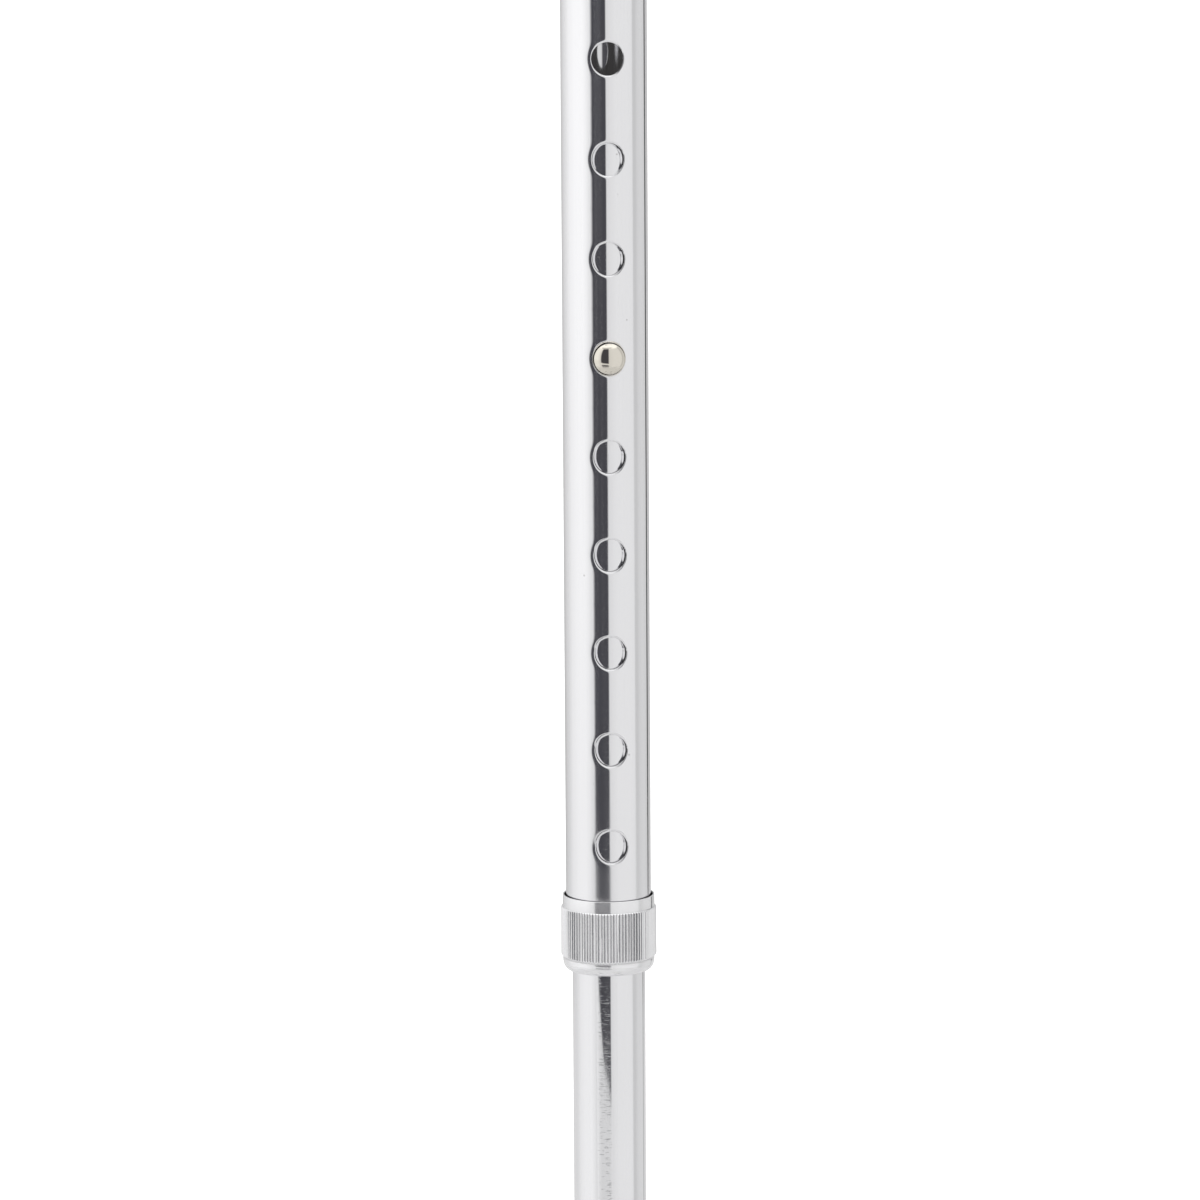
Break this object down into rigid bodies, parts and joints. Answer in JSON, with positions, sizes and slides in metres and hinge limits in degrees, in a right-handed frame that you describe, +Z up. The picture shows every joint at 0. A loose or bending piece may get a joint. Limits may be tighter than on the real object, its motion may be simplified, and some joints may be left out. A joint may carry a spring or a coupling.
{
  "type": "quad walking cane",
  "caption": "Offset-handle walking cane with a telescopic tube shaft, snap-button height setting, knurled lock nut and a wide four-legged base.",
  "frame": {"origin": "on the floor, at the middle of the cane's bounding box", "axes": "+Z up the shaft; the handle runs along X with its free end at -X; the height holes face -Y; the short side of the base, next to the user, faces +Y"},
  "size_m": [0.203, 0.148, 0.8129],
  "materials": {
    "polished_aluminium": "polished drawn tube",
    "inner_tube_aluminium": "polished drawn tube",
    "nut_aluminium": "polished, straight knurl",
    "button_nickel": "polished nickel plate",
    "spring_steel": "oiled spring steel",
    "nylon": "natural nylon",
    "grip_vinyl": "moulded soft vinyl",
    "base_chrome": "chrome-plated steel tube",
    "fastener_zinc": "zinc-plated steel",
    "tip_rubber": "moulded rubber"
  },
  "bodies": {
    "base": {"base_bolt": "fastener_zinc", "base_lock_nut": "fastener_zinc", "base_stem": "base_chrome", "base_washers": "fastener_zinc", "button_spring": "spring_steel", "hub_plate": "base_chrome", "lower_tube": "inner_tube_aluminium", "lower_tube_plug": "nylon", "outer_leg_tube": "base_chrome", "rubber_tip_outer_front": "tip_rubber", "rubber_tip_outer_rear": "tip_rubber", "rubber_tip_user_front": "tip_rubber", "rubber_tip_user_rear": "tip_rubber", "tip_washer_outer_front": "fastener_zinc", "tip_washer_outer_rear": "fastener_zinc", "tip_washer_user_front": "fastener_zinc", "tip_washer_user_rear": "fastener_zinc", "tube_guide_bush": "nylon", "user_leg_tube": "base_chrome"},
    "upper": {"upper_tube": "polished_aluminium", "handle_grip": "grip_vinyl", "handle_end_plug": "nylon"},
    "button": {"snap_button": "button_nickel"},
    "clamp_ring": {"compression_ring": "nylon"},
    "nut": {"lock_nut": "nut_aluminium"}
  },
  "joints": [
    {"name": "height_slide", "type": "slide", "parent": "base", "child": "upper", "axis": [0, 0, 1], "range_m": [-0.0762, 0.127], "deforming": ["snap_button"]},
    {"name": "button_press", "type": "slide", "parent": "base", "child": "button", "axis": [0, 1, 0], "range_m": [0, 0.0036], "stiffness_N_per_m": 3000, "springref_m": -0.001, "deforming": ["button_spring"]},
    {"name": "nut_travel", "type": "slide", "parent": "upper", "child": "clamp_ring", "axis": [0, 0, 1], "range_m": [-0.00225, 0]},
    {"name": "nut_turn", "type": "hinge", "parent": "clamp_ring", "child": "nut", "pos_m": [0, 0.03847, 0.2788], "axis": [0, 0, 1], "range_deg": [-540, 0]}
  ],
  "couplings": [
    {"joint": "nut_travel", "follows": "nut_turn", "m_per_rad": 0.00023873}
  ]
}
